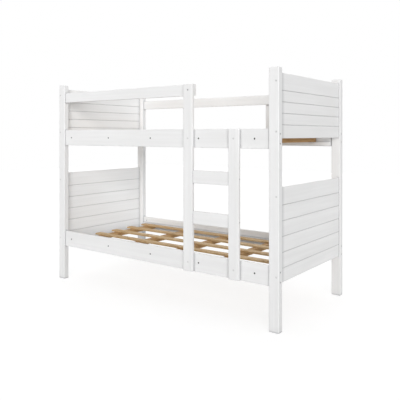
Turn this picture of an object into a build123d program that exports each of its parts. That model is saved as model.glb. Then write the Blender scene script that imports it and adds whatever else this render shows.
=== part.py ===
"""Bunk bed with a fixed ladder: two single beds, one above the other, for 188 x 88 cm mattresses.

X runs along the length, the ladder side faces -Y and the floor is Z = 0.
The origin lies on the floor under the middle of the whole bed. All sizes are millimetres.
"""

import os
from math import cos, pi

from build123d import *

os.makedirs("parts", exist_ok=True)

# ---------------------------------------------------------------- overall sizes
bed_length = 1970.0  # outside of the posts, along X
bed_depth = 975.0  # outside of the posts, along Y
bed_height = 1550.0  # top of the posts

# ---------------------------------------------------------------- stock
post_width = 65.0  # along X
post_depth = 44.0  # along Y
rail_height = 120.0
rail_thickness = 22.0
rail_setback = 11.0  # rail face behind the post face, so that the rail is centred on the post
guard_height = 75.0
guard_thickness = 20.0
panel_thickness = 12.0
panel_setback = 10.0  # panel face behind the outer side of the post
stile_width = 74.5
stile_thickness = 22.0
rung_height = 84.0
rung_thickness = 18.0
rung_setback = 6.0  # rung face behind the stile face
slat_width = 58.0
slat_thickness = 12.0
bearer_width = 50.0
bearer_thickness = 30.0

# ---------------------------------------------------------------- heights
lower_rail_z = 263.5
upper_rail_drop = 480.0  # underside of the upper rail below the top of the posts
front_guard_drop = 140.5
rear_guard_drop = 159.5
rung_shares = {"lower": 0.3865, "upper": 0.7140}  # of the way from the lower rail to the upper one
lower_panel_rise = 20.0  # underside of the lower panel above that of the rail
lower_board_heights = [84.0, 93.0, 93.0, 93.0, 93.0, 106.0]  # bottom board first
upper_panel_drop = 30.0  # top of the upper panel below the top of the posts
upper_board_heights = [80.0, 68.0, 68.0, 68.0, 104.0]
bearer_rise = 30.0  # underside of the bearers above the bottom edge of the rail

# ---------------------------------------------------------------- ladder
ladder_end_gap = 265.5  # from the right end of the bed to the right stile
ladder_opening = 277.0  # between the stiles

# ---------------------------------------------------------------- slatted bases
slat_count = 5
slat_inset = 111.5  # middle of the outermost slat, from the outside of the posts
bearer_count = 5
bearer_inset = 157.0  # middle of the outermost bearer, from the end of the bed
slat_overhang = 42.0  # slat past the outermost bearer
base_shift = {"lower": 45.0, "upper": -51.0}  # each base lies a little off the middle
ledge_depth = 34.0
ledge_height = 26.0
lip_thickness = 12.0
lip_drop = 4.0  # top of the lip below the top of the slats
bearer_end_gap = 1.5
ledge_end_gap = 3.0

# ---------------------------------------------------------------- joints and edges
post_ease = 2.5
edge_ease = 2.0
slat_ease = 1.0
v_groove = 3.0
tongue_thickness = 4.0
tongue_length = 6.0
tenon_thickness = 8.0
tenon_length = 10.0
groove_fit = 0.2  # each side of a tongue or a tenon
groove_end = 0.5  # past the tip of a tongue or a tenon

# ---------------------------------------------------------------- fixings
hole_fit = 0.1  # radial room round a bolt, a screw or a dowel
tip_room = 1.0  # past the tip of a bolt, a screw or a dowel

flats = 8  # sides that stand for the round of a shank, a head or a hole

rail_bolt_radius = 3.0
rail_bolt_head_radius = 5.5
rail_bolt_head = 6.0
rail_bolt_recess = 8.0
rail_bolt_spacing = 58.0
barrel_radius = 5.0
barrel_length = 14.0
barrel_from_end = 40.0
bolt_past_barrel = 9.0

panel_bolt_radius = 2.5
panel_bolt_head_radius = 5.5
panel_bolt_head = 4.0
panel_bolt_recess = 4.5
panel_bolt_reach = 38.0  # into the end of the board, past the post

ledge_screw_radius = 2.0
ledge_screw_head_radius = 4.2
ledge_screw_length = 30.0
ledge_screw_count = 5
ledge_screw_inset = 153.0  # outermost screw from the end of the bed, before the shift
ledge_screw_shift = -14.0

frame_screw_radius = 3.0
frame_screw_head_radius = 6.0
frame_screw_length = 38.0
support_screw_spacing = 60.0

rung_screw_radius = 2.5
rung_screw_head_radius = 5.0
rung_screw_length = 110.0

dowel_radius = 4.0
dowel_length = 36.0
guard_dowel_spacing = 40.0
rung_dowel_spacing = 50.0

# ---------------------------------------------------------------- derived planes
stile_proud = stile_thickness - rail_setback
x_end = bed_length / 2
y_front = -bed_depth / 2
y_rear = bed_depth / 2
x_inner = x_end - post_width
panel_axis = panel_setback + panel_thickness / 2
x_panel = x_end - panel_axis
y_panel_front = y_front + post_depth
y_panel_rear = y_rear - post_depth
y_stile = y_front - stile_proud
rail_axis = rail_setback + rail_thickness / 2
right_stile = x_end - ladder_end_gap - stile_width
left_stile = right_stile - ladder_opening - stile_width
rung_y = y_stile + rung_setback
upper_rail_z = bed_height - upper_rail_drop
front_guard_z = bed_height - front_guard_drop
rear_guard_z = bed_height - rear_guard_drop
levels = {"lower": lower_rail_z, "upper": upper_rail_z}
panels = {
    "lower": (lower_rail_z + lower_panel_rise, lower_board_heights),
    "upper": (bed_height - upper_panel_drop - sum(upper_board_heights), upper_board_heights),
}
sides = {"left": -1, "right": 1}
faces = {"front": -1, "rear": 1}
stile_tops = {"left": front_guard_z + guard_height, "right": upper_rail_z + rail_height}
stile_starts = {"left": left_stile, "right": right_stile}


def spread(count, reach):
    """`count` places in equal steps from -reach to +reach."""
    return [reach * (2 * i / (count - 1) - 1) for i in range(count)]


ledge_screw_xs = [
    x + ledge_screw_shift for x in spread(ledge_screw_count, x_end - ledge_screw_inset)
]
bearer_xs = spread(bearer_count, x_end - bearer_inset)
slat_ys = spread(slat_count, y_rear - slat_inset)
support_xs = [ledge_screw_xs[1], ledge_screw_xs[3]]
rung_zs = {
    name: lower_rail_z + share * (upper_rail_z - lower_rail_z)
    for name, share in rung_shares.items()
}


def y_face(face, inset):
    """Y of a plane that lies `inset` inside the front (-1) or the rear (1) posts."""
    return y_front + inset if face < 0 else y_rear - inset


def rail_mid(level):
    return levels[level] + rail_height / 2


def panel_board_spans(level):
    """Bottom and top of every board of a panel, lowest first."""
    base, heights = panels[level]
    spans = []
    for height in heights:
        spans.append((base, base + height))
        base = base + height
    return spans


def panel_bolt_zs(level):
    spans = panel_board_spans(level)
    return [sum(spans[0]) / 2, sum(spans[-1]) / 2]


def inward(x, y, z, outward):
    """A plane on a face whose outward normal is `outward`, turned to face into the wood."""
    x_dir = (0, 1, 0) if outward[0] else (1, 0, 0)
    return Plane(origin=(x, y, z), x_dir=x_dir, z_dir=[-n for n in outward])


def block(x0, x1, y0, y1, z0, z1, mode=Mode.ADD):
    """A box between two opposite corners, inside the running BuildPart."""
    with BuildSketch(Plane.XY.offset(min(z0, z1))) as footprint:
        with Locations(((x0 + x1) / 2, (y0 + y1) / 2)):
            Rectangle(abs(x1 - x0), abs(y1 - y0))
    extrude(footprint.sketch, amount=abs(z1 - z0), mode=mode)


def prism(plane, radius, length, mode=Mode.ADD, taper=0.0):
    """A shank, a head or a hole with `flats` sides that goes in from a plane."""
    with BuildSketch(plane) as section:
        RegularPolygon(radius, flats)
    extrude(section.sketch, amount=length, taper=taper, mode=mode)


def drill(plane, radius, depth):
    """A hole with running room round a shank of this radius."""
    prism(plane, radius + hole_fit, depth, Mode.SUBTRACT)


def counterbore(plane, radius, head_radius, recess, depth):
    """A hole with a wider recess for a cap head."""
    drill(plane, head_radius, recess)
    drill(plane, radius, depth)


def cone_height(radius, head_radius):
    """Height of a 45 degree head between two radii that are measured to the corners."""
    return (head_radius - radius) * cos(pi / flats)


def countersink(plane, radius, head_radius, depth):
    """A hole with a 45 degree seat for a flush head."""
    cone = cone_height(radius, head_radius)
    prism(plane, head_radius + hole_fit, cone, Mode.SUBTRACT, taper=45)
    drill(plane, radius, depth)


def cap_bolt(plane, radius, head_radius, head, length, recess):
    """A bolt whose head stands in a recess, with `length` below the head."""
    prism(plane.offset(recess - head), head_radius, head)
    prism(plane.offset(recess), radius, length)


def flush_screw(plane, radius, head_radius, length):
    """A countersunk screw; `length` includes the head."""
    prism(plane, head_radius, cone_height(radius, head_radius), taper=45)
    prism(plane, radius, length)


def save(builder, label):
    builder.part.label = label
    export_step(builder.part, f"parts/{label}.step")


frame_screw_depth = frame_screw_length - stile_thickness + tip_room

# ---------------------------------------------------------------- posts
guard_dowel_zs = {
    "front": front_guard_z + guard_height / 2,
    "rear": rear_guard_z + guard_height / 2,
}
guard_axis = rail_setback + guard_thickness / 2
dowel_depth = dowel_length / 2 + tip_room


def pair(middle, spacing):
    """Two places, half the spacing to each side of the middle."""
    return (middle - spacing / 2, middle + spacing / 2)


def make_post(side, face, guard):
    """A corner post: stopped grooves for both end panels, bolt and dowel holes."""
    x_out = side * x_end
    x_in = side * x_inner
    y_out = y_face(face, 0)
    y_in = y_face(face, post_depth)
    groove_half = tenon_thickness / 2 + groove_fit
    with BuildPart() as post:
        block(x_out, x_in, y_out, y_in, 0, bed_height)
        chamfer(post.edges(), length=post_ease)
        for level in panels:
            spans = panel_board_spans(level)
            block(
                side * x_panel - groove_half,
                side * x_panel + groove_half,
                y_in,
                y_face(face, post_depth - tenon_length - groove_end),
                spans[0][0],
                spans[-1][1],
                Mode.SUBTRACT,
            )
        for level in levels:
            for z in pair(rail_mid(level), rail_bolt_spacing):
                counterbore(
                    inward(x_out, y_face(face, rail_axis), z, (side, 0, 0)),
                    rail_bolt_radius,
                    rail_bolt_head_radius,
                    rail_bolt_recess,
                    post_width,
                )
        for level in panels:
            for z in panel_bolt_zs(level):
                counterbore(
                    inward(side * x_panel, y_out, z, (0, face, 0)),
                    panel_bolt_radius,
                    panel_bolt_head_radius,
                    panel_bolt_recess,
                    post_depth,
                )
        if guard:
            for z in pair(guard_dowel_zs[guard], guard_dowel_spacing):
                plane = inward(x_in, y_face(face, guard_axis), z, (-side, 0, 0))
                drill(plane, dowel_radius, dowel_depth)
    return post


for side_name, side in sides.items():
    for face_name, face in faces.items():
        has_guard = face_name if (face > 0 or side < 0) else None
        save(make_post(side, face, has_guard), f"post_{face_name}_{side_name}")

# ---------------------------------------------------------------- side rails
barrel_depth = rail_thickness / 2 + barrel_length / 2
bolt_length = post_width - rail_bolt_recess + barrel_from_end + bolt_past_barrel


def make_rail(level, face):
    """A side rail, drilled at both ends for cross-dowel bolts and along it for its ledge."""
    z0 = levels[level]
    mid = rail_mid(level)
    y_out = y_face(face, rail_setback)
    y_in = y_face(face, rail_setback + rail_thickness)
    y_axis = y_face(face, rail_axis)
    with BuildPart() as rail:
        block(-x_inner, x_inner, y_out, y_in, z0, z0 + rail_height)
        chamfer(rail.edges().filter_by(Axis.X), length=edge_ease)
        for side in (-1, 1):
            for z in pair(mid, rail_bolt_spacing):
                bolt_plane = inward(side * x_inner, y_axis, z, (side, 0, 0))
                drill(
                    bolt_plane,
                    rail_bolt_radius,
                    barrel_from_end + bolt_past_barrel + tip_room,
                )
                x_nut = side * (x_inner - barrel_from_end)
                nut_plane = inward(x_nut, y_in, z, (0, -face, 0))
                drill(nut_plane, barrel_radius, barrel_depth)
        for x in ledge_screw_xs:
            countersink(
                inward(x, y_out, mid, (0, face, 0)),
                ledge_screw_radius,
                ledge_screw_head_radius,
                rail_thickness,
            )
        if face < 0:
            for start in stile_starts.values():
                plane = inward(start + stile_width / 2, y_out, mid, (0, face, 0))
                drill(plane, frame_screw_radius, frame_screw_depth)
        if face > 0 and level == "upper":
            for x in support_xs:
                for z in pair(mid, support_screw_spacing):
                    plane = inward(x, y_out, z, (0, face, 0))
                    drill(plane, frame_screw_radius, frame_screw_depth)
    return rail


for level in levels:
    for face_name, face in faces.items():
        save(make_rail(level, face), f"rail_{level}_{face_name}")

# ---------------------------------------------------------------- ledges under the slatted bases
x_ledge = x_inner - ledge_end_gap
ledge_face = rail_setback + rail_thickness
lip_rise = bearer_rise + bearer_thickness + slat_thickness - lip_drop
ledge_screw_depth = ledge_screw_length - rail_thickness + tip_room


def ledge_section(face):
    """The L of a ledge: the lip lies against the rail, the foot carries the bearers."""
    y0 = y_face(face, ledge_face)
    y1 = y_face(face, ledge_face + lip_thickness)
    y2 = y_face(face, ledge_face + ledge_depth)
    low = bearer_rise - ledge_height
    return [
        (y0, low),
        (y2, low),
        (y2, bearer_rise),
        (y1, bearer_rise),
        (y1, lip_rise),
        (y0, lip_rise),
    ]


def make_ledge(level, face):
    """An L-section strip on the inner side of a rail, screwed on through the rail."""
    with BuildPart() as ledge:
        with BuildSketch(Plane(origin=(-x_ledge, 0, levels[level]), x_dir=(0, 1, 0), z_dir=(1, 0, 0))):
            with BuildLine():
                Polyline(*ledge_section(face), close=True)
            make_face()
        extrude(amount=2 * x_ledge)
        for x in ledge_screw_xs:
            plane = inward(x, y_face(face, ledge_face), rail_mid(level), (0, face, 0))
            drill(plane, ledge_screw_radius, ledge_screw_depth)
    return ledge


for level in levels:
    for face_name, face in faces.items():
        save(make_ledge(level, face), f"ledge_{level}_{face_name}")

# ---------------------------------------------------------------- slatted bases
bearer_tip = ledge_face + lip_thickness + bearer_end_gap
slat_half = bearer_xs[-1] + bearer_width / 2 + slat_overhang


def make_bearers(level):
    """The crosswise bearers of one base, lying on the two ledges."""
    z0 = levels[level] + bearer_rise
    with BuildPart() as bearers:
        for x in bearer_xs:
            block(
                base_shift[level] + x - bearer_width / 2,
                base_shift[level] + x + bearer_width / 2,
                y_face(-1, bearer_tip),
                y_face(1, bearer_tip),
                z0,
                z0 + bearer_thickness,
            )
        chamfer(bearers.edges().filter_by(Axis.Y), length=slat_ease)
    return bearers


def make_slat(level, y):
    """One lengthwise slat of a base, lying on all its bearers."""
    z0 = levels[level] + bearer_rise + bearer_thickness
    with BuildPart() as slat:
        block(
            base_shift[level] - slat_half,
            base_shift[level] + slat_half,
            y - slat_width / 2,
            y + slat_width / 2,
            z0,
            z0 + slat_thickness,
        )
        chamfer(slat.edges().filter_by(Axis.X), length=slat_ease)
    return slat


for level in levels:
    save(make_bearers(level), f"bearers_{level}")
    for number, y in enumerate(slat_ys, 1):
        save(make_slat(level, y), f"slat_{level}_{number}")

# ---------------------------------------------------------------- end panels
panel_half = panel_thickness / 2
tongue_half = tongue_thickness / 2
tongue_room = tongue_half + groove_fit
groove_depth = tongue_length + groove_end
cheek = (panel_thickness - tenon_thickness) / 2


def board_outline(z0, z1, lowest, highest):
    """Section of a tongued and grooved board: x across its thickness, z up."""
    low = edge_ease if lowest else v_groove
    high = edge_ease if highest else v_groove
    right = [(panel_half - low, z0), (panel_half, z0 + low)]
    right += [(panel_half, z1 - high), (panel_half - high, z1)]
    if not highest:
        right += [(tongue_half, z1), (tongue_half, z1 + tongue_length)]
    if not lowest:
        right = [(tongue_room, z0 + groove_depth), (tongue_room, z0)] + right
    left = [(-x, z) for x, z in reversed(right)]
    return right + left


def make_board(side, span, lowest, highest):
    """A panel board between the posts, with a tenon at each end."""
    z0, z1 = span
    x = side * x_panel
    y0 = y_panel_front - tenon_length
    y1 = y_panel_rear + tenon_length
    with BuildPart() as board:
        with BuildSketch(Plane(origin=(x, y1, 0), x_dir=(1, 0, 0), z_dir=(0, -1, 0))):
            with BuildLine():
                Polyline(*board_outline(z0, z1, lowest, highest), close=True)
            make_face()
        extrude(amount=y1 - y0)
        for x_cheek in (x - panel_half, x + panel_half - cheek):
            for y_cheek in (y0, y_panel_rear):
                block(
                    x_cheek,
                    x_cheek + cheek,
                    y_cheek,
                    y_cheek + tenon_length,
                    z0,
                    z1,
                    Mode.SUBTRACT,
                )
        if lowest or highest:
            for y_tip, face in ((y0, -1), (y1, 1)):
                plane = inward(x, y_tip, (z0 + z1) / 2, (0, face, 0))
                drill(plane, panel_bolt_radius, tenon_length + panel_bolt_reach + tip_room)
    return board


for side_name, side in sides.items():
    for level in panels:
        spans = panel_board_spans(level)
        last = len(spans) - 1
        for number, span in enumerate(spans):
            board = make_board(side, span, number == 0, number == last)
            save(board, f"board_{level}_{side_name}_{number + 1}")

# ---------------------------------------------------------------- guard rails and their supports
guard_right = left_stile + stile_width
support_screw_zs = (
    *pair(rail_mid("upper"), support_screw_spacing),
    rear_guard_z + guard_height / 2,
)


def make_guard(face_name, x0, x1, z0, dowelled_ends, screw_xs):
    """A guard rail above the upper mattress, dowelled into the posts."""
    face = faces[face_name]
    y_out = y_face(face, rail_setback)
    y_in = y_face(face, rail_setback + guard_thickness)
    mid = z0 + guard_height / 2
    with BuildPart() as guard:
        block(x0, x1, y_out, y_in, z0, z0 + guard_height)
        chamfer(guard.edges().filter_by(Axis.X), length=edge_ease)
        for x_tip, side in dowelled_ends:
            for z in pair(mid, guard_dowel_spacing):
                plane = inward(x_tip, y_face(face, guard_axis), z, (side, 0, 0))
                drill(plane, dowel_radius, dowel_depth)
        for x in screw_xs:
            plane = inward(x, y_out, mid, (0, face, 0))
            drill(plane, frame_screw_radius, frame_screw_depth)
    return guard


left_end = (-x_inner, -1)
right_end = (x_inner, 1)
guard_screw_x = left_stile + stile_width / 2
save(
    make_guard("front", -x_inner, guard_right, front_guard_z, [left_end], [guard_screw_x]),
    "guard_front",
)
save(
    make_guard("rear", -x_inner, x_inner, rear_guard_z, [left_end, right_end], support_xs),
    "guard_rear",
)

with BuildPart() as guard_supports:
    for x in support_xs:
        block(
            x - stile_width / 2,
            x + stile_width / 2,
            y_face(1, rail_setback),
            y_face(1, -stile_proud),
            upper_rail_z,
            rear_guard_z + guard_height,
        )
    chamfer(guard_supports.edges().filter_by(Axis.Z), length=edge_ease)
    for x in support_xs:
        for z in support_screw_zs:
            countersink(
                inward(x, y_face(1, -stile_proud), z, (0, 1, 0)),
                frame_screw_radius,
                frame_screw_head_radius,
                stile_thickness,
            )
save(guard_supports, "guard_supports")

# ---------------------------------------------------------------- ladder
rung_axis_y = rung_y + rung_thickness / 2


def stile_screw_zs(name):
    zs = [rail_mid("lower"), rail_mid("upper")]
    if name == "left":
        zs.append(front_guard_z + guard_height / 2)
    return zs


def rung_mid(name):
    return rung_zs[name] + rung_height / 2


def make_stile(name):
    """A ladder stile in front of the rails, drilled for both rungs."""
    side = sides[name]
    x0 = stile_starts[name]
    x1 = x0 + stile_width
    x_outer, x_rung = (x0, x1) if side < 0 else (x1, x0)
    with BuildPart() as stile:
        block(x0, x1, y_stile, y_stile + stile_thickness, lower_rail_z, stile_tops[name])
        chamfer(stile.edges(), length=edge_ease)
        for z in stile_screw_zs(name):
            countersink(
                inward((x0 + x1) / 2, y_stile, z, (0, -1, 0)),
                frame_screw_radius,
                frame_screw_head_radius,
                stile_thickness,
            )
        for rung in rung_zs:
            countersink(
                inward(x_outer, rung_axis_y, rung_mid(rung), (side, 0, 0)),
                rung_screw_radius,
                rung_screw_head_radius,
                stile_width,
            )
            for z in pair(rung_mid(rung), rung_dowel_spacing):
                plane = inward(x_rung, rung_axis_y, z, (-side, 0, 0))
                drill(plane, dowel_radius, dowel_depth)
    return stile


for name in sides:
    save(make_stile(name), f"ladder_stile_{name}")


def make_rung(name):
    """A flat rung between the stiles."""
    z0 = rung_zs[name]
    x0 = left_stile + stile_width
    x1 = right_stile
    with BuildPart() as rung:
        block(x0, x1, rung_y, rung_y + rung_thickness, z0, z0 + rung_height)
        chamfer(rung.edges().filter_by(Axis.X), length=edge_ease)
        for x, side in ((x0, -1), (x1, 1)):
            plane = inward(x, rung_axis_y, rung_mid(name), (side, 0, 0))
            drill(plane, rung_screw_radius, rung_screw_length - stile_width + tip_room)
            for z in pair(rung_mid(name), rung_dowel_spacing):
                plane = inward(x, rung_axis_y, z, (side, 0, 0))
                drill(plane, dowel_radius, dowel_depth)
    return rung


for name in rung_zs:
    save(make_rung(name), f"ladder_rung_{name}")

# ---------------------------------------------------------------- fixings
corners = [(side, face) for side in sides.values() for face in faces.values()]

with BuildPart() as rail_bolts:
    for side, face in corners:
        for level in levels:
            for z in pair(rail_mid(level), rail_bolt_spacing):
                cap_bolt(
                    inward(side * x_end, y_face(face, rail_axis), z, (side, 0, 0)),
                    rail_bolt_radius,
                    rail_bolt_head_radius,
                    rail_bolt_head,
                    bolt_length,
                    rail_bolt_recess,
                )
save(rail_bolts, "rail_bolts")

with BuildPart() as barrel_nuts:
    for side, face in corners:
        x = side * (x_inner - barrel_from_end)
        y = y_face(face, rail_axis)
        for level in levels:
            for z in pair(rail_mid(level), rail_bolt_spacing):
                nut_plane = inward(x, y, z, (0, face, 0))
                prism(nut_plane.offset(-barrel_length / 2), barrel_radius, barrel_length)
                bolt_plane = inward(x + side * 2 * barrel_radius, y, z, (side, 0, 0))
                drill(bolt_plane, rail_bolt_radius, 4 * barrel_radius)
save(barrel_nuts, "barrel_nuts")

with BuildPart() as panel_bolts:
    for side, face in corners:
        for level in panels:
            for z in panel_bolt_zs(level):
                cap_bolt(
                    inward(side * x_panel, y_face(face, 0), z, (0, face, 0)),
                    panel_bolt_radius,
                    panel_bolt_head_radius,
                    panel_bolt_head,
                    post_depth - panel_bolt_recess + panel_bolt_reach,
                    panel_bolt_recess,
                )
save(panel_bolts, "panel_bolts")

with BuildPart() as ledge_screws:
    for face in faces.values():
        for level in levels:
            for x in ledge_screw_xs:
                flush_screw(
                    inward(x, y_face(face, rail_setback), rail_mid(level), (0, face, 0)),
                    ledge_screw_radius,
                    ledge_screw_head_radius,
                    ledge_screw_length,
                )
save(ledge_screws, "ledge_screws")

with BuildPart() as frame_screws:
    for name, start in stile_starts.items():
        for z in stile_screw_zs(name):
            flush_screw(
                inward(start + stile_width / 2, y_stile, z, (0, -1, 0)),
                frame_screw_radius,
                frame_screw_head_radius,
                frame_screw_length,
            )
    for x in support_xs:
        for z in support_screw_zs:
            flush_screw(
                inward(x, y_face(1, -stile_proud), z, (0, 1, 0)),
                frame_screw_radius,
                frame_screw_head_radius,
                frame_screw_length,
            )
save(frame_screws, "frame_screws")

with BuildPart() as rung_screws:
    for name, start in stile_starts.items():
        side = sides[name]
        x_outer = start if side < 0 else start + stile_width
        for rung in rung_zs:
            flush_screw(
                inward(x_outer, rung_axis_y, rung_mid(rung), (side, 0, 0)),
                rung_screw_radius,
                rung_screw_head_radius,
                rung_screw_length,
            )
save(rung_screws, "rung_screws")


def dowel(x, y, z):
    """A beech dowel along X, half in each of the two pieces that meet here."""
    prism(inward(x - dowel_length / 2, y, z, (-1, 0, 0)), dowel_radius, dowel_length)


with BuildPart() as dowels:
    for z in pair(guard_dowel_zs["front"], guard_dowel_spacing):
        dowel(-x_inner, y_face(-1, guard_axis), z)
    for z in pair(guard_dowel_zs["rear"], guard_dowel_spacing):
        dowel(-x_inner, y_face(1, guard_axis), z)
        dowel(x_inner, y_face(1, guard_axis), z)
    for rung in rung_zs:
        for z in pair(rung_mid(rung), rung_dowel_spacing):
            dowel(left_stile + stile_width, rung_axis_y, z)
            dowel(right_stile, rung_axis_y, z)
save(dowels, "dowels")
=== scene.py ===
# %% [markdown]
# # A white bunk bed with a fixed ladder
# Two single beds share four posts. Almost everything is white-lacquered pine: stout posts, flat rails,
# grooved end panels and a ladder. Only the slatted bases are bare wood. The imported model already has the
# right shapes, so this lesson is mostly about finishes, small fixings and light.

# %% Load the frame
import math

import bpy
import numpy as np
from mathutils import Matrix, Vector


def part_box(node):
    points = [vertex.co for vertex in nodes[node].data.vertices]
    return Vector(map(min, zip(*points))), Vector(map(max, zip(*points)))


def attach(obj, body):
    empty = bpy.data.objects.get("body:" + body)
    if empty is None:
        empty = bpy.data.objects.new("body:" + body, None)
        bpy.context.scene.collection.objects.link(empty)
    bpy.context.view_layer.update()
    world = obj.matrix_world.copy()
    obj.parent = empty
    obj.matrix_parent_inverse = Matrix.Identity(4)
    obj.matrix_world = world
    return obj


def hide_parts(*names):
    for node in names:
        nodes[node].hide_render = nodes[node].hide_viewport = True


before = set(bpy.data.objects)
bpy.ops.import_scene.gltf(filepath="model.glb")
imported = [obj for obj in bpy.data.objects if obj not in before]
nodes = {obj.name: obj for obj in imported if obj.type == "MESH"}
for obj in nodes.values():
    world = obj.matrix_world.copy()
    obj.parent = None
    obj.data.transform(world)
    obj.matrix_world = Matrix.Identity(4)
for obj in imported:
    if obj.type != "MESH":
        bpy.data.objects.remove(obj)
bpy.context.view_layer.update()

# %% [markdown]
# ## Reading sizes from the frame
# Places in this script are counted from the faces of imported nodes. Small helpers turn the box of a node into
# the numbers that a carpenter would ask for: its two faces, the middle between them, and the outer face.

# %% Sizes of the bed
X, Y, Z = 0, 1, 2
LEVELS = ("lower", "upper")
SIDES = {"left": -1, "right": 1}
FACES = {"front": -1, "rear": 1}


def span(node, axis):
    """Lowest and highest value of a node along one axis, in metres."""
    low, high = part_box(node)
    return float(low[axis]), float(high[axis])


def middle(node, axis):
    """Half way between a node's two faces on one axis."""
    return sum(span(node, axis)) / 2


def outer_face(node, axis, turn):
    """The face of a node that looks along an axis: forwards where turn is 1, backwards where it is -1."""
    low, high = span(node, axis)
    return low if turn < 0 else high


post_spans = [span("post_front_left", axis) for axis in (X, Y, Z)]
print("post size:", [round(high - low, 4) for low, high in post_spans])

# %% [markdown]
# ## The camera
# The camera stands off the right front corner, at three quarters of the bed's height. It looks level, so
# that upright edges stay upright. What would otherwise be a tilt is done with the lens shift, as with a
# view camera.

# %% Camera
camera_data = bpy.data.cameras.new("camera")
camera_data.sensor_width = 36.0
camera_data.lens = 47.738
camera_data.shift_x = 0.0524
camera_data.shift_y = -0.1638
camera_data.clip_end = 60.0
camera = bpy.data.objects.new("camera", camera_data)
camera.location = (2.4344, -3.2503, 1.1553)
camera.rotation_euler = (math.pi / 2, 0.0, math.radians(38.325))
bpy.context.scene.collection.objects.link(camera)
bpy.context.scene.camera = camera
print("camera height:", round(camera.location.z, 3))

# %% [markdown]
# ## A short way to write node graphs
# A material is a graph of small nodes. The first helper makes one node, sets its plain values and plugs
# the outputs of earlier nodes into it. The others are short names for the nodes that are needed most, so
# a finish can be read from top to bottom like a recipe.

# %% Node helpers
def add(tree, kind, inputs=None, **settings):
    """One node of the graph; an input takes a value, or the output socket that feeds it."""
    node = tree.nodes.new(kind)
    for key, value in settings.items():
        setattr(node, key, value)
    for key, value in (inputs or {}).items():
        if isinstance(value, bpy.types.NodeSocket):
            tree.links.new(value, node.inputs[key])
        else:
            node.inputs[key].default_value = value
    return node


def empty_tree(owner):
    """Switches a material or a world to nodes and clears its graph."""
    owner.use_nodes = True
    owner.node_tree.nodes.clear()
    return owner.node_tree


def new_finish(name):
    """A material that holds only a principled shader and the output."""
    finish = bpy.data.materials.new(name)
    tree = empty_tree(finish)
    shader = add(tree, "ShaderNodeBsdfPrincipled")
    add(tree, "ShaderNodeOutputMaterial", {"Surface": shader.outputs["BSDF"]})
    return finish, tree, shader


def opaque(colour):
    """A plain (red, green, blue) gets full alpha, and a socket stays as it is."""
    return colour if isinstance(colour, bpy.types.NodeSocket) else (*colour, 1.0)


def blend_colours(tree, share, first, second):
    """Two colours mixed by a share between 0 and 1. They go into sockets 6 and 7 and come out of 2."""
    inputs = {0: share, 6: opaque(first), 7: opaque(second)}
    return add(tree, "ShaderNodeMix", inputs, data_type="RGBA").outputs[2]


def colour_ramp(tree, value, stops):
    """A colour ramp from (position, colour) pairs, lowest first."""
    node = add(tree, "ShaderNodeValToRGB", {"Fac": value})
    elements = node.color_ramp.elements
    while len(elements) < len(stops):
        elements.new(0.5)
    for element, (position, colour) in zip(elements, stops):
        element.position = position
        element.color = opaque(colour)
    return node.outputs["Color"]


def to_range(tree, value, low, high, new_low, new_high):
    """A value moved from one range to another, and held inside the new one."""
    inputs = {"Value": value, "From Min": low, "From Max": high, "To Min": new_low, "To Max": new_high}
    return add(tree, "ShaderNodeMapRange", inputs).outputs["Result"]


def formula(tree, operation, first, second=0.0):
    """One arithmetic step between two values."""
    return add(tree, "ShaderNodeMath", {0: first, 1: second}, operation=operation).outputs["Value"]


def object_place(tree):
    """Object coordinates. Every object sits at the origin, so they are metres in the room."""
    return add(tree, "ShaderNodeTexCoord").outputs["Object"]


def flat_normal(tree):
    """The normal of the mesh itself, before any bevel or bump."""
    return add(tree, "ShaderNodeNewGeometry").outputs["True Normal"]


print("node helpers ready")

# %% [markdown]
# ## Grain has a direction
# Wood grain is long along a board and fine across it. Squeezing the object coordinates along one axis is
# enough to draw streaks of a real size.

# %% Coordinates along the grain
def along_grain(tree, axis, lengthwise, crosswise):
    """Object coordinates scaled for streaks: few cycles along the wood, many across it."""
    scale = [crosswise] * 3
    scale[axis] = lengthwise
    inputs = {"Vector": object_place(tree), "Scale": scale}
    return add(tree, "ShaderNodeMapping", inputs).outputs["Vector"]


def noise(tree, place, scale=1.0, detail=3.0, roughness=0.5, distortion=0.0):
    """A cloudy value between 0 and 1."""
    inputs = {
        "Vector": place,
        "Scale": scale,
        "Detail": detail,
        "Roughness": roughness,
        "Distortion": distortion,
    }
    return add(tree, "ShaderNodeTexNoise", inputs).outputs["Fac"]


print("grain axes: X for rails and slats, Y for boards and bearers, Z for posts and stiles")

# %% [markdown]
# ## Edges that catch light and wear
# Sanded edges are round, but the imported solids have small flat chamfers. A Bevel node looks at the surface
# around a point and gives a rounded normal, without any new mesh. Where that normal differs from the flat
# one, the point is on an edge, and the same difference serves as a mask for the worn lacquer, which also
# carries painted shade that dulls the highlight on the edge.

# %% Rounded normals and an edge mask
def rounded(tree, radius):
    """The normal of an edge rounded by this radius."""
    return add(tree, "ShaderNodeBevel", {"Radius": radius}, samples=4).outputs["Normal"]


def edge_mask(tree, soft_normal):
    """0 on flat wood and 1 on an edge: one minus the dot product of the two normals, stretched."""
    inputs = {0: soft_normal, 1: flat_normal(tree)}
    dot = add(tree, "ShaderNodeVectorMath", inputs, operation="DOT_PRODUCT").outputs["Value"]
    return to_range(tree, formula(tree, "SUBTRACT", 1.0, dot), 0.02, 0.25, 0.0, 1.0)


def add_bump(tree, shader, height, distance, strength=1.0, soft_normal=None):
    """Relief on the shader: a height of about 0 to 1, times a distance in metres."""
    inputs = {"Strength": strength, "Distance": distance, "Height": height}
    if soft_normal is not None:
        inputs["Normal"] = soft_normal
    bump = add(tree, "ShaderNodeBump", inputs)
    tree.links.new(bump.outputs["Normal"], shader.inputs["Normal"])


print("edge helpers ready")
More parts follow.
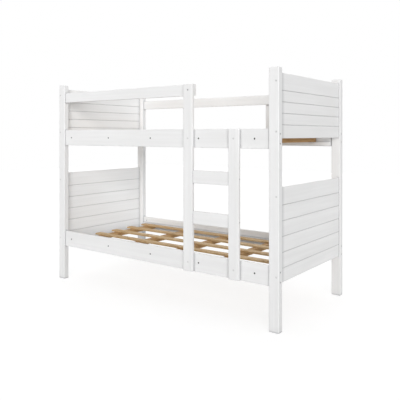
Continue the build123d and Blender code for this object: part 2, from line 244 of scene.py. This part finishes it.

# %% [markdown]
# ## White lacquer over pine
# The wood is sprayed with a satin white lacquer. It hides the colour of the wood but not its relief: in
# raking light the hard grain stands up in long faint ripples, and the spray leaves a fine orange peel. The
# white itself is never quite even. It is thin and dull on the edges, partly worn and partly with painted
# shade that tones down their highlight. Grooves and corners get painted shade, and so, a little, do the
# narrow sides of posts and stiles. The outer side of each panel close to its front post gets a painted shadow.

# %% White lacquer
LACQUER_WHITE = (0.85, 0.85, 0.852)
BOARD_WHITE = (0.845, 0.845, 0.847)
LACQUER_TINT = (0.825, 0.825, 0.823)
BAND_GREY = (0.72, 0.72, 0.72)
GRAIN_GREY = (0.70, 0.69, 0.68)
PORE_GREY = (0.62, 0.61, 0.60)
SIDE_SHADE_GREY = (0.70, 0.70, 0.70)
EDGE_WEAR_AND_SHADE = (0.60, 0.58, 0.545)
DEEP_SHADE_GREY = (0.36, 0.36, 0.37)
CORNER_SHADE_GREY = (0.50, 0.50, 0.51)
LACQUER_EDGE_RADIUS = 0.0022
LACQUER_RELIEF = 0.00022
GROOVE_REACH = 0.016
CORNER_REACH = 0.05
FULL_SHADE_TO = 0.019
SHADE_ENDS_AT = 0.052


def openness(tree, reach):
    """1 on open wood, falling towards 0 where other surfaces stand close, as in a groove or a corner."""
    return add(tree, "ShaderNodeAmbientOcclusion", {"Distance": reach}, samples=6).outputs["AO"]


def narrow_side(tree):
    """Painted shade mask: 1 on the narrow sides of posts and stiles (they look along X), else 0."""
    along_x = add(tree, "ShaderNodeSeparateXYZ", {"Vector": flat_normal(tree)}).outputs["X"]
    return to_range(tree, formula(tree, "ABSOLUTE", along_x), 0.8, 0.95, 0.0, 1.0)


def front_post_shadow_mask(tree):
    """Painted shadow of the front post: 1 on a panel's outer side close to it, 0 inside and from 52 mm away.
    """
    place = add(tree, "ShaderNodeSeparateXYZ", {"Vector": object_place(tree)})
    facing = add(tree, "ShaderNodeSeparateXYZ", {"Vector": flat_normal(tree)})
    # The product is near 1 m on the outer sides of both end panels, and near -1 m on their inner sides.
    outwards = formula(tree, "MULTIPLY", place.outputs["X"], facing.outputs["X"])
    outer_side = formula(tree, "GREATER_THAN", outwards, 0.5)
    post_face = outer_face("post_front_right", Y, 1)
    shade_from, shade_to = post_face + FULL_SHADE_TO, post_face + SHADE_ENDS_AT
    near = to_range(tree, place.outputs["Y"], shade_from, shade_to, 1.0, 0.0)
    return formula(tree, "MULTIPLY", outer_side, near)


def white_lacquer(name, axis, white=LACQUER_WHITE, side_shade_share=0.0, post_shadow_share=0.0):
    """Satin white with the grain along one axis: worn edges, and painted shade on edges, grooves and corners.
    """
    finish, tree, shader = new_finish(name)
    streaks = noise(tree, along_grain(tree, axis, 2.5, 60.0), detail=4.0, roughness=0.6, distortion=0.4)
    clouds = noise(tree, along_grain(tree, axis, 1.2, 5.0), scale=1.6, detail=2.0)
    pores = noise(tree, along_grain(tree, axis, 30.0, 900.0), detail=2.0, roughness=0.7)
    bands = noise(tree, along_grain(tree, axis, 0.9, 30.0), roughness=0.6, distortion=0.25)
    peel = noise(tree, object_place(tree), scale=420.0, detail=2.0)

    tint_share = to_range(tree, clouds, 0.35, 0.65, 0.0, 1.0)
    colour = blend_colours(tree, tint_share, white, LACQUER_TINT)
    band_share = to_range(tree, bands, 0.35, 0.65, 0.0, 0.28)
    colour = blend_colours(tree, band_share, colour, BAND_GREY)
    grain_share = to_range(tree, streaks, 0.35, 0.75, 0.0, 0.12)
    colour = blend_colours(tree, grain_share, colour, GRAIN_GREY)
    pore_share = to_range(tree, pores, 0.66, 0.80, 0.0, 0.25)
    colour = blend_colours(tree, pore_share, colour, PORE_GREY)
    # Painted shade on the narrow sides of posts and stiles, which look along X.
    side_shade = formula(tree, "MULTIPLY", narrow_side(tree), side_shade_share)
    colour = blend_colours(tree, side_shade, colour, SIDE_SHADE_GREY)
    # Painted shadow that the front post casts on the recessed outer side of the panel beside it.
    post_shade = formula(tree, "MULTIPLY", front_post_shadow_mask(tree), post_shadow_share)
    colour = blend_colours(tree, post_shade, colour, DEEP_SHADE_GREY)

    soft = rounded(tree, LACQUER_EDGE_RADIUS)
    # Worn lacquer on the edges, strong enough to also be painted shade over the edge highlight.
    patchy = to_range(tree, clouds, 0.45, 0.75, 0.12, 0.32)
    worn_and_shaded = formula(tree, "MULTIPLY", edge_mask(tree, soft), patchy)
    colour = blend_colours(tree, worn_and_shaded, colour, EDGE_WEAR_AND_SHADE)
    # Painted shade in grooves and narrow gaps, read from how closed in each point is.
    groove = to_range(tree, openness(tree, GROOVE_REACH), 0.35, 0.95, 0.85, 0.0)
    colour = blend_colours(tree, groove, colour, DEEP_SHADE_GREY)
    # Painted shade in corners, where other pieces stand close.
    corner = to_range(tree, openness(tree, CORNER_REACH), 0.45, 0.95, 0.22, 0.0)
    colour = blend_colours(tree, corner, colour, CORNER_SHADE_GREY)
    tree.links.new(colour, shader.inputs["Base Color"])

    satin = to_range(tree, streaks, 0.2, 0.8, 0.40, 0.52)
    tree.links.new(satin, shader.inputs["Roughness"])
    ripple = formula(tree, "ADD", streaks, formula(tree, "MULTIPLY", pores, -0.35))
    height = formula(tree, "ADD", ripple, formula(tree, "MULTIPLY", peel, 0.12))
    add_bump(tree, shader, height, LACQUER_RELIEF, soft_normal=soft)
    shader.inputs["Specular IOR Level"].default_value = 0.45
    shader.inputs["Coat Weight"].default_value = 0.12
    shader.inputs["Coat Roughness"].default_value = 0.25
    return finish


rail_lacquer = white_lacquer("white_lacquer_lengthwise", X)
post_lacquer = white_lacquer("white_lacquer_upright", Z, side_shade_share=0.35)
board_lacquer = white_lacquer("white_lacquer_boards", Y, white=BOARD_WHITE, post_shadow_share=0.42)
print("lacquers:", rail_lacquer.name, post_lacquer.name, board_lacquer.name)

# %% [markdown]
# ## Bare pine
# The slats and their bearers are raw, so they show the real wood: pale early wood, darker late wood, thin
# fibres and a few knots. A plain stretched noise looks like brushed cloth. Real boards are cut through a
# round trunk, so the pattern starts from rings: the distance to a long axis, bent by a noise, run through
# a saw of many rings. Each slat lies at another place about that axis, where the noise bends the rings in
# another way, so each gets its own figure.

# %% Bare pine
SLOW_BROWN = (0.38, 0.22, 0.09)
KNOT_BROWN = (0.14, 0.06, 0.025)
SANDED_EDGE = (0.74, 0.57, 0.37)
PINE_EDGE_RADIUS = 0.0012
PINE_RELIEF = 0.0003


def growth_rings(tree, axis):
    """0 to 1 over each ring. The rings of this node lie 314 mm apart at scale 1, and 21 mm at scale 15."""
    inputs = {
        "Vector": along_grain(tree, axis, 0.45, 1.0),
        "Scale": 15.0,
        "Distortion": 5.5,
        "Detail": 3.0,
        "Detail Scale": 2.2,
        "Detail Roughness": 0.6,
    }
    return add(
        tree,
        "ShaderNodeTexWave",
        inputs,
        wave_type="RINGS",
        rings_direction="XYZ"[axis],
        wave_profile="SAW",
    ).outputs["Fac"]


def knot_distance(tree, axis):
    """Distance to the nearest of a few scattered points, stretched along the grain."""
    inputs = {"Vector": along_grain(tree, axis, 2.6, 9.0), "Scale": 1.0, "Randomness": 1.0}
    return add(tree, "ShaderNodeTexVoronoi", inputs, feature="F1").outputs["Distance"]


def bare_pine(name, axis, early, late):
    """Growth rings about a far axis between early and late wood, fibres along it, and knots."""
    finish, tree, shader = new_finish(name)
    rings = growth_rings(tree, axis)
    fibre = noise(tree, along_grain(tree, axis, 6.0, 260.0), detail=5.0, roughness=0.65, distortion=0.3)
    slow = noise(tree, along_grain(tree, axis, 0.8, 9.0), detail=2.0)

    between = tuple(0.7 * a + 0.3 * b for a, b in zip(early, late))
    pale = tuple(1.1 * part for part in early)
    colour = colour_ramp(tree, rings, [(0.0, early), (0.55, between), (0.9, late), (1.0, early)])
    colour = blend_colours(tree, to_range(tree, slow, 0.3, 0.7, 0.0, 0.75), colour, SLOW_BROWN)
    colour = blend_colours(tree, to_range(tree, fibre, 0.45, 0.75, 0.0, 0.55), colour, pale)
    knots = to_range(tree, knot_distance(tree, axis), 0.16, 0.05, 0.0, 0.85)
    colour = blend_colours(tree, knots, colour, KNOT_BROWN)
    soft = rounded(tree, PINE_EDGE_RADIUS)
    edges = formula(tree, "MULTIPLY", edge_mask(tree, soft), 0.35)
    colour = blend_colours(tree, edges, colour, SANDED_EDGE)
    tree.links.new(colour, shader.inputs["Base Color"])

    tree.links.new(to_range(tree, fibre, 0.3, 0.8, 0.72, 0.58), shader.inputs["Roughness"])
    height = formula(tree, "ADD", fibre, formula(tree, "MULTIPLY", rings, 0.35))
    add_bump(tree, shader, height, PINE_RELIEF, soft_normal=soft)
    shader.inputs["Specular IOR Level"].default_value = 0.3
    return finish


slat_pine = bare_pine("bare_pine_slats", X, early=(0.72, 0.54, 0.32), late=(0.44, 0.26, 0.10))
bearer_pine = bare_pine("bare_pine_bearers", Y, early=(0.55, 0.34, 0.155), late=(0.30, 0.145, 0.045))
print("pine:", slat_pine.name, bearer_pine.name)

# %% [markdown]
# ## Zinc and beech
# Screws and bolts are zinc plated: a grey metal whose crystals scatter the reflection. The plating also
# comes in black, for the screws along the rails. A pale and nearly matt kind is on the panel bolts and on
# most screws of the ladder. Dowels are plain beech, with the short dark flecks of that wood. They sit
# inside the joints, but they get their finish too, because the part can be opened up.

# %% Zinc plate and beech
ZINC_RELIEF = 0.00008
BEECH_RELIEF = 0.0001


def zinc_plate(name, dark, pale, stain, metal):
    """Plating between two greys, more or less metallic, with mottled roughness, stains and a fine relief."""
    finish, tree, shader = new_finish(name)
    mottle = noise(tree, object_place(tree), scale=900.0, roughness=0.6)
    stains = noise(tree, object_place(tree), scale=130.0, detail=2.0)
    colour = colour_ramp(tree, mottle, [(0.3, dark), (0.7, pale)])
    colour = blend_colours(tree, to_range(tree, stains, 0.5, 0.8, 0.0, 0.4), colour, stain)
    tree.links.new(colour, shader.inputs["Base Color"])
    tree.links.new(to_range(tree, mottle, 0.3, 0.7, 0.28, 0.46), shader.inputs["Roughness"])
    add_bump(tree, shader, mottle, ZINC_RELIEF, strength=0.6)
    shader.inputs["Metallic"].default_value = metal
    return finish


def beech(name):
    """Pinkish brown with short dark flecks along X."""
    finish, tree, shader = new_finish(name)
    flecks = noise(tree, along_grain(tree, X, 120.0, 900.0), detail=2.0, roughness=0.6)
    tone = noise(tree, along_grain(tree, X, 8.0, 60.0), detail=2.0)
    colour = colour_ramp(tree, tone, [(0.3, (0.50, 0.30, 0.17)), (0.7, (0.60, 0.39, 0.24))])
    colour = blend_colours(tree, to_range(tree, flecks, 0.6, 0.75, 0.0, 0.6), colour, (0.28, 0.14, 0.07))
    tree.links.new(colour, shader.inputs["Base Color"])
    add_bump(tree, shader, flecks, BEECH_RELIEF, strength=0.7)
    shader.inputs["Roughness"].default_value = 0.6
    return finish


zinc = zinc_plate(
    "zinc_plate",
    dark=(0.38, 0.39, 0.40),
    pale=(0.58, 0.58, 0.58),
    stain=(0.42, 0.40, 0.34),
    metal=1.0,
)
black_zinc = zinc_plate(
    "black_zinc_plate",
    dark=(0.004, 0.004, 0.004),
    pale=(0.012, 0.012, 0.012),
    stain=(0.02, 0.018, 0.015),
    metal=0.0,
)
pale_zinc = zinc_plate(
    "pale_zinc_plate",
    dark=(0.60, 0.60, 0.60),
    pale=(0.74, 0.74, 0.74),
    stain=(0.56, 0.55, 0.52),
    metal=0.25,
)
dowel_beech = beech("dowel_beech")
print("metal and dowels:", zinc.name, black_zinc.name, pale_zinc.name, dowel_beech.name)

# %% [markdown]
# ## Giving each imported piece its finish
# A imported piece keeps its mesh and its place. Only the material in its slots changes. The name of the piece
# tells what it is made of and which way its grain runs.

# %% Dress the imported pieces
FINISHES = {
    ("board",): board_lacquer,
    ("slat",): slat_pine,
    ("bearers",): bearer_pine,
    ("post", "ladder_stile", "guard_supports"): post_lacquer,
    ("rail_lower", "rail_upper", "ledge_lower", "ledge_upper", "guard", "ladder_rung"): rail_lacquer,
    ("dowels",): dowel_beech,
}


def finish_for(node):
    """The finish of the first group whose names fit this node; the fixings, which fit none, are zinc."""
    for beginnings, finish in FINISHES.items():
        if node.startswith(beginnings):
            return finish
    return zinc


def dress(node, finish):
    """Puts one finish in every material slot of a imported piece."""
    packed = nodes[node]
    for place in packed.material_slots:
        place.material = finish
    if not packed.material_slots:
        packed.data.materials.append(finish)


for node in nodes:
    dress(node, finish_for(node))
print("dressed:", len(nodes), "packed pieces")

# %% [markdown]
# ## Turned fixings
# Screws and bolts are turned on a lathe, and so are these: a profile is swept round an axis. Each row of
# the profile is a radius, a height and a number of corners, which is 0 for a round ring. Only the drive is
# not round: its rings follow the sides of a hexagon or a square. The profile starts in the middle of the
# socket and ends at the tip, so the skin is closed.

# %% A turned skin
def ring_radius(radius, angle, corners):
    """A round ring, or a polygon: corner radius x cos(half a side) / cos(angle from the side's middle)."""
    if not corners:
        return np.full_like(angle, radius)
    half = math.pi / corners
    return radius * math.cos(half) / np.cos(np.mod(angle, 2 * half) - half)


def turned(profile, steps):
    """Points (r cos a, r sin a, h) for each row (r, h, corners) of the profile and each step of a."""
    angle = np.arange(steps) * 2 * math.pi / steps
    inner = profile[1:-1]
    radius = np.array([ring_radius(r, angle, corners) for r, _, corners in inner])
    height = np.array([h for _, h, _ in inner])[:, None] * np.ones(steps)
    rings = np.stack([radius * np.cos(angle), radius * np.sin(angle), height], axis=-1).reshape(-1, 3)
    points = np.vstack([[0.0, 0.0, profile[0][1]], rings, [0.0, 0.0, profile[-1][1]]])
    here = np.arange(steps)
    after = (here + 1) % steps
    row = 1 + steps * np.arange(len(inner) - 1)[:, None]
    quads = np.stack([row + here, row + steps + here, row + steps + after, row + after], axis=-1)
    first = np.stack([np.zeros(steps, int), 1 + here, 1 + after], axis=-1)
    start = 1 + steps * (len(inner) - 1)
    last = np.stack([np.full(steps, len(points) - 1), start + after, start + here], axis=-1)
    return points, quads.reshape(-1, 4), np.vstack([first, last])


def cap_head(radius, height, shank, length, socket):
    """Profile of a cap bolt: hex socket, rounded rim, head and shank. Height 0 is the top of the head."""
    rim = 0.12 * radius
    return [
        (0.0, -0.55 * height, 0),
        (socket, -0.50 * height, 6),
        (socket, -0.25 * rim, 6),
        (1.12 * socket, 0.0, 0),
        (radius - rim, 0.0, 0),
        (radius - 0.3 * rim, -0.3 * rim, 0),
        (radius, -rim, 0),
        (radius, -height, 0),
        (shank, -height, 0),
        (shank, -height - length + shank, 0),
        (0.6 * shank, -height - length, 0),
        (0.0, -height - length, 0),
    ]


def flush_head(radius, shank, length, socket, depth):
    """Profile of a countersunk screw: hex socket, flat head, 45 degree cone, shank and a pointed tip."""
    return [
        (0.0, -1.15 * depth, 0),
        (socket, -depth, 6),
        (socket, -0.1 * socket, 6),
        (1.15 * socket, 0.0, 0),
        (0.96 * radius, 0.0, 0),
        (radius, -0.04 * radius, 0),
        (shank, -(radius - shank), 0),
        (shank, -length + 2 * shank, 0),
        (0.3 * shank, -length, 0),
        (0.0, -length, 0),
    ]


def small_head(radius, length):
    """Profile of a small countersunk screw with a four-sided drive."""
    return [
        (0.0, -0.5 * radius, 0),
        (0.42 * radius, -0.4 * radius, 4),
        (0.42 * radius, 0.0, 4),
        (radius, 0.0, 0),
        (0.45 * radius, -0.55 * radius, 0),
        (0.0, -length, 0),
    ]


rail_bolt = cap_head(radius=0.0050, height=0.006, shank=0.003, length=0.105, socket=0.0027)
panel_bolt = cap_head(radius=0.0052, height=0.004, shank=0.0025, length=0.077, socket=0.0017)
ledge_screw = flush_head(radius=0.0054, shank=0.002, length=0.0298, socket=0.0021, depth=0.0024)
frame_screw = flush_head(radius=0.0055, shank=0.003, length=0.0378, socket=0.0025, depth=0.003)
rung_screw = flush_head(radius=0.0046, shank=0.0025, length=0.1098, socket=0.0021, depth=0.0025)
base_screw = small_head(radius=0.0032, length=0.010)
print("rows in the profile of a rail bolt:", len(rail_bolt))

# %% [markdown]
# ## Many copies in one mesh
# There are dozens of equal screws. They become one mesh per kind: the points of one screw are turned to each
# outward direction and moved to each place, all in one array sum.

# %% Copies
def copies(shape, places, outward):
    """Each point becomes place + x side + y other side + z outward, for every place at once."""
    points, quads, ends = shape
    places = np.asarray(places, float)
    outward = np.asarray(outward, float)
    up = np.where(np.abs(outward[:, 2:3]) > 0.5, [[1.0, 0.0, 0.0]], [[0.0, 0.0, 1.0]])
    side = np.cross(up, outward)
    other = np.cross(outward, side)
    turned_points = (
        places[:, None, :]
        + points[None, :, 0:1] * side[:, None, :]
        + points[None, :, 1:2] * other[:, None, :]
        + points[None, :, 2:3] * outward[:, None, :]
    )
    offset = (np.arange(len(places)) * len(points))[:, None, None]
    faces = (quads[None] + offset).reshape(-1, 4).tolist() + (ends[None] + offset).reshape(-1, 3).tolist()
    return turned_points.reshape(-1, 3), faces


def make_object(name, points, faces):
    """A mesh object at the origin, made from an array of points and a list of faces."""
    mesh = bpy.data.meshes.new(name)
    mesh.from_pydata(points.tolist(), [], faces)
    mesh.update()
    made = bpy.data.objects.new(name, mesh)
    bpy.context.scene.collection.objects.link(made)
    return made


def fixing(name, profile, places, outward, stands_for=None, steps=24, finish=zinc):
    """One kind of screw at all its places, in one shade of zinc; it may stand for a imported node."""
    piece = make_object(name, *copies(turned(profile, steps), places, outward))
    piece.data.materials.append(finish)
    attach(piece, "root")
    if stands_for:
        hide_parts(stands_for)
    print(name, len(places), "copies,", len(piece.data.polygons), "faces")


print("copies ready")

# %% [markdown]
# ## Bolts through the posts
# The rails hang on cap bolts that go in from the ends of the bed, two for each rail end, with their heads a
# little below the face of the post. The boards are held by smaller cap bolts that go in from the front and
# the rear of each post.

# %% Rail bolts and panel bolts
HEAD_BELOW_FACE = 0.002
PANEL_HEAD_BELOW_FACE = 0.0005
PACKED_BOLT_HEAD = 0.0055
TOP_BOARD = {"lower": 6, "upper": 5}

bolt_places, bolt_outward = [], []
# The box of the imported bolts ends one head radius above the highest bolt.
pair_half = (span("rail_bolts", Z)[1] - middle("rail_upper_front", Z)) - PACKED_BOLT_HEAD
for side, turn in SIDES.items():
    for face in FACES:
        x = outer_face(f"post_{face}_{side}", X, turn) - turn * HEAD_BELOW_FACE
        for level in LEVELS:
            rail = f"rail_{level}_{face}"
            for step in (-pair_half, pair_half):
                bolt_places.append((x, middle(rail, Y), middle(rail, Z) + step))
                bolt_outward.append((turn, 0.0, 0.0))
fixing("turned_rail_bolts", rail_bolt, bolt_places, bolt_outward, "rail_bolts")

panel_places, panel_outward = [], []
for side in SIDES:
    for level, top in TOP_BOARD.items():
        for number in (1, top):
            board = f"board_{level}_{side}_{number}"
            low, high = span(board, Z)
            if number == 1:
                high = span(f"board_{level}_{side}_2", Z)[0]
            for face, turn in FACES.items():
                y = outer_face(f"post_{face}_{side}", Y, turn) - turn * PANEL_HEAD_BELOW_FACE
                panel_places.append((middle(board, X), y, (low + high) / 2))
                panel_outward.append((0.0, turn, 0.0))
fixing("turned_panel_bolts", panel_bolt, panel_places, panel_outward, "panel_bolts", finish=pale_zinc)

# %% [markdown]
# ## Flush screws
# Along each rail a row of black countersunk screws holds the ledge behind it. Thicker pale ones hold the
# ladder stiles and the supports of the rear guard rail. The one in the front guard rail is plain zinc and
# looks darker. Long ones go through the stiles into the rungs.

# %% Flush screws
PROUD = 0.0002
SUNK = 0.0001
PACKED_SCREW_HEAD = 0.0040
SUPPORT_SCREW_STEP = 0.030

ledge_places, ledge_outward = [], []
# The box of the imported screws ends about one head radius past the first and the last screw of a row.
first_x, last_x = span("ledge_screws", X)
for face, turn in FACES.items():
    for level in LEVELS:
        rail = f"rail_{level}_{face}"
        for x in np.linspace(first_x + PACKED_SCREW_HEAD, last_x - PACKED_SCREW_HEAD, 5):
            ledge_places.append((x, outer_face(rail, Y, turn) + turn * PROUD, middle(rail, Z)))
            ledge_outward.append((0.0, turn, 0.0))
fixing("turned_ledge_screws", ledge_screw, ledge_places, ledge_outward, "ledge_screws", finish=black_zinc)

frame_places, frame_outward = [], []
for side in SIDES:
    stile = f"ladder_stile_{side}"
    for level in LEVELS:
        height = middle(f"rail_{level}_front", Z)
        frame_places.append((middle(stile, X), outer_face(stile, Y, -1) + SUNK, height))
        frame_outward.append((0.0, -1.0, 0.0))
stile_low, stile_high = span("ladder_stile_left", X)
support_half = (stile_high - stile_low) / 2
support_low, support_high = span("guard_supports", X)
rail_height = middle("rail_upper_rear", Z)
support_heights = (
    rail_height - SUPPORT_SCREW_STEP,
    rail_height + SUPPORT_SCREW_STEP,
    middle("guard_rear", Z),
)
for x in (support_low + support_half, support_high - support_half):
    for height in support_heights:
        frame_places.append((x, outer_face("guard_supports", Y, 1) - SUNK, height))
        frame_outward.append((0.0, 1.0, 0.0))
fixing("turned_frame_screws", frame_screw, frame_places, frame_outward, "frame_screws", finish=pale_zinc)

stile_front = outer_face("ladder_stile_left", Y, -1)
guard_place = (middle("ladder_stile_left", X), stile_front + SUNK, middle("guard_front", Z))
fixing("turned_guard_screw", frame_screw, [guard_place], [(0.0, -1.0, 0.0)], "frame_screws")

rung_places, rung_outward = [], []
for side, turn in SIDES.items():
    x = outer_face(f"ladder_stile_{side}", X, turn) - turn * SUNK
    for level in LEVELS:
        rung = f"ladder_rung_{level}"
        rung_places.append((x, middle(rung, Y), middle(rung, Z)))
        rung_outward.append((turn, 0.0, 0.0))
fixing("turned_rung_screws", rung_screw, rung_places, rung_outward, "rung_screws")

# %% [markdown]
# ## Small screws of the slatted bases
# Two screws hold each slat on every bearer, and one holds each end of a bearer on its ledge. The two stand
# on a slant, so that they don't split the bearer along one line. These screws are too small to be packed
# pieces, and they are simple on purpose, because there are more than a hundred of them.

# %% Base screws
BEARER_HALF = 0.025
PAIR_STEP = 0.014
PAIR_SLANT = 0.4
FROM_BEARER_END = 0.013

base_places = []
for level in LEVELS:
    bearers = f"bearers_{level}"
    first_x, last_x = span(bearers, X)
    first_y, last_y = span(bearers, Y)
    reach = (last_x - first_x) / 2 - BEARER_HALF
    bearer_xs = middle(bearers, X) + np.linspace(-reach, reach, 5)
    for number in range(1, 6):
        slat = f"slat_{level}_{number}"
        for x in bearer_xs:
            for step in (-PAIR_STEP, PAIR_STEP):
                base_places.append((x + PAIR_SLANT * step, middle(slat, Y) + step, span(slat, Z)[1] + SUNK))
    for x in bearer_xs:
        for y in (first_y + FROM_BEARER_END, last_y - FROM_BEARER_END):
            base_places.append((x, y, span(bearers, Z)[1] + SUNK))
upwards = np.tile([0.0, 0.0, 1.0], (len(base_places), 1))
fixing("base_screws", base_screw, base_places, upwards, steps=12)

# %% [markdown]
# ## The room
# A product is shown on a white sweep. The floor is a very large plane that is pale itself. For the eye of
# the camera it also glows a little, so that it reads as white while the lamps stay at a plain level, and
# the bed still leaves its soft shadow on it.

# %% Floor
FLOOR_HALF = 12.0
FLOOR_GLOW = 0.76


def flat_grid(half, steps):
    """A square grid in the plane Z = 0: X and Y each run from minus half to plus half in equal steps."""
    line = np.linspace(-half, half, steps + 1)
    x, y = np.meshgrid(line, line, indexing="ij")
    points = np.stack([x, y, np.zeros_like(x)], axis=-1).reshape(-1, 3)
    corner = (np.arange(steps)[:, None] * (steps + 1) + np.arange(steps)[None, :]).reshape(-1)
    faces = np.stack([corner, corner + steps + 1, corner + steps + 2, corner + 1], axis=1)
    return points, faces.tolist()


def matt(tree, mottle, low, high):
    """A diffuse shader whose grey wanders between two levels."""
    colour = blend_colours(tree, mottle, (low,) * 3, (high,) * 3)
    return add(tree, "ShaderNodeBsdfDiffuse", {"Color": colour}).outputs[0]


def studio_floor(name):
    """Pale matt floor: a light bouncer for the bed, and nearly white to the camera and in reflections."""
    finish = bpy.data.materials.new(name)
    tree = empty_tree(finish)
    mottle = noise(tree, object_place(tree), scale=3.0, detail=2.0)
    glow = add(tree, "ShaderNodeEmission", {"Strength": FLOOR_GLOW})
    sweep = add(tree, "ShaderNodeAddShader", {0: matt(tree, mottle, 0.30, 0.31), 1: glow.outputs[0]})
    rays = add(tree, "ShaderNodeLightPath")
    shown = formula(tree, "MAXIMUM", rays.outputs["Is Camera Ray"], rays.outputs["Is Glossy Ray"])
    inputs = {0: shown, 1: matt(tree, mottle, 0.50, 0.52), 2: sweep.outputs[0]}
    both = add(tree, "ShaderNodeMixShader", inputs)
    add(tree, "ShaderNodeOutputMaterial", {"Surface": both.outputs[0]})
    return finish


floor = make_object("floor", *flat_grid(FLOOR_HALF, 8))
floor.data.materials.append(studio_floor("studio_floor"))
print("floor faces:", len(floor.data.polygons))

# %% [markdown]
# ## Light
# A white product needs soft light with a clear direction. The world gives an even base. One wide sun
# stands on the ladder side, low and turned towards the right end, so that its light reaches into both beds
# and the front is a little brighter than the end panels. A sun has no distance: where nothing shades them,
# the rear rails get the same light as the front ones. Two weaker suns light the tops and the far side. The
# inside of a bed is half closed, so a small soft lamp stands at the right end above each base, to show the
# left panel as pale as it is. The camera and reflections don't see these two lamps. They are bluish,
# because the light that comes off the bare slats is warm.

# %% World and lamps
LAMP_BLUE = (0.72, 0.87, 1.0)
LAMP_FROM_POST = 0.05
LAMP_ABOVE_SLATS = 0.22
LAMP_HEIGHT = 0.30


def studio_world(strength):
    """An even pale light; the camera sees pure white."""
    world = bpy.data.worlds.new("studio")
    tree = empty_tree(world)
    rays = add(tree, "ShaderNodeLightPath")
    shown = formula(tree, "MAXIMUM", rays.outputs["Is Camera Ray"], rays.outputs["Is Transmission Ray"])
    level = to_range(tree, shown, 0.0, 1.0, strength, 1.0)
    sky = add(tree, "ShaderNodeBackground", {"Color": (1.0, 1.0, 1.0, 1.0), "Strength": level})
    add(tree, "ShaderNodeOutputWorld", {"Surface": sky.outputs["Background"]})
    bpy.context.scene.world = world


def wide_sun(name, turn, height, strength, width):
    """A sun at a turn (0 = front, 90 = right end) and a height above the floor, both in degrees."""
    lamp = bpy.data.lights.new(name, "SUN")
    lamp.energy = strength
    lamp.angle = math.radians(width)
    stand = bpy.data.objects.new(name, lamp)
    stand.rotation_euler = (math.radians(90.0 - height), 0.0, math.radians(turn))
    bpy.context.scene.collection.objects.link(stand)


def inner_lamp(name, deck, watts):
    """A soft upright panel above the rear half of a base, just inside the right end, facing the left."""
    front = span(f"slat_{deck}_1", Y)[0]
    rear = span(f"slat_{deck}_5", Y)[1]
    lamp = bpy.data.lights.new(name, "AREA")
    lamp.shape = "RECTANGLE"
    lamp.size = LAMP_HEIGHT
    lamp.size_y = (rear - front) / 2
    lamp.spread = math.radians(64.0)
    lamp.energy = watts
    lamp.color = LAMP_BLUE
    stand = bpy.data.objects.new(name, lamp)
    x = span("post_front_right", X)[0] - LAMP_FROM_POST
    z = span(f"slat_{deck}_1", Z)[1] + LAMP_ABOVE_SLATS
    stand.location = (x, rear - (rear - front) / 4, z)
    stand.rotation_euler = (0.0, math.radians(90.0), 0.0)
    stand.visible_camera = False
    stand.visible_glossy = False
    bpy.context.scene.collection.objects.link(stand)


studio_world(0.46)
wide_sun("key_sun", turn=39.5, height=10.0, strength=2.47, width=36.0)
wide_sun("top_sun", turn=30.0, height=75.0, strength=0.45, width=60.0)
wide_sun("rear_sun", turn=215.0, height=25.0, strength=1.3, width=70.0)
inner_lamp("inner_lamp_lower", "lower", watts=0.60)
inner_lamp("inner_lamp_upper", "upper", watts=0.50)
bpy.context.scene.view_settings.view_transform = "Standard"
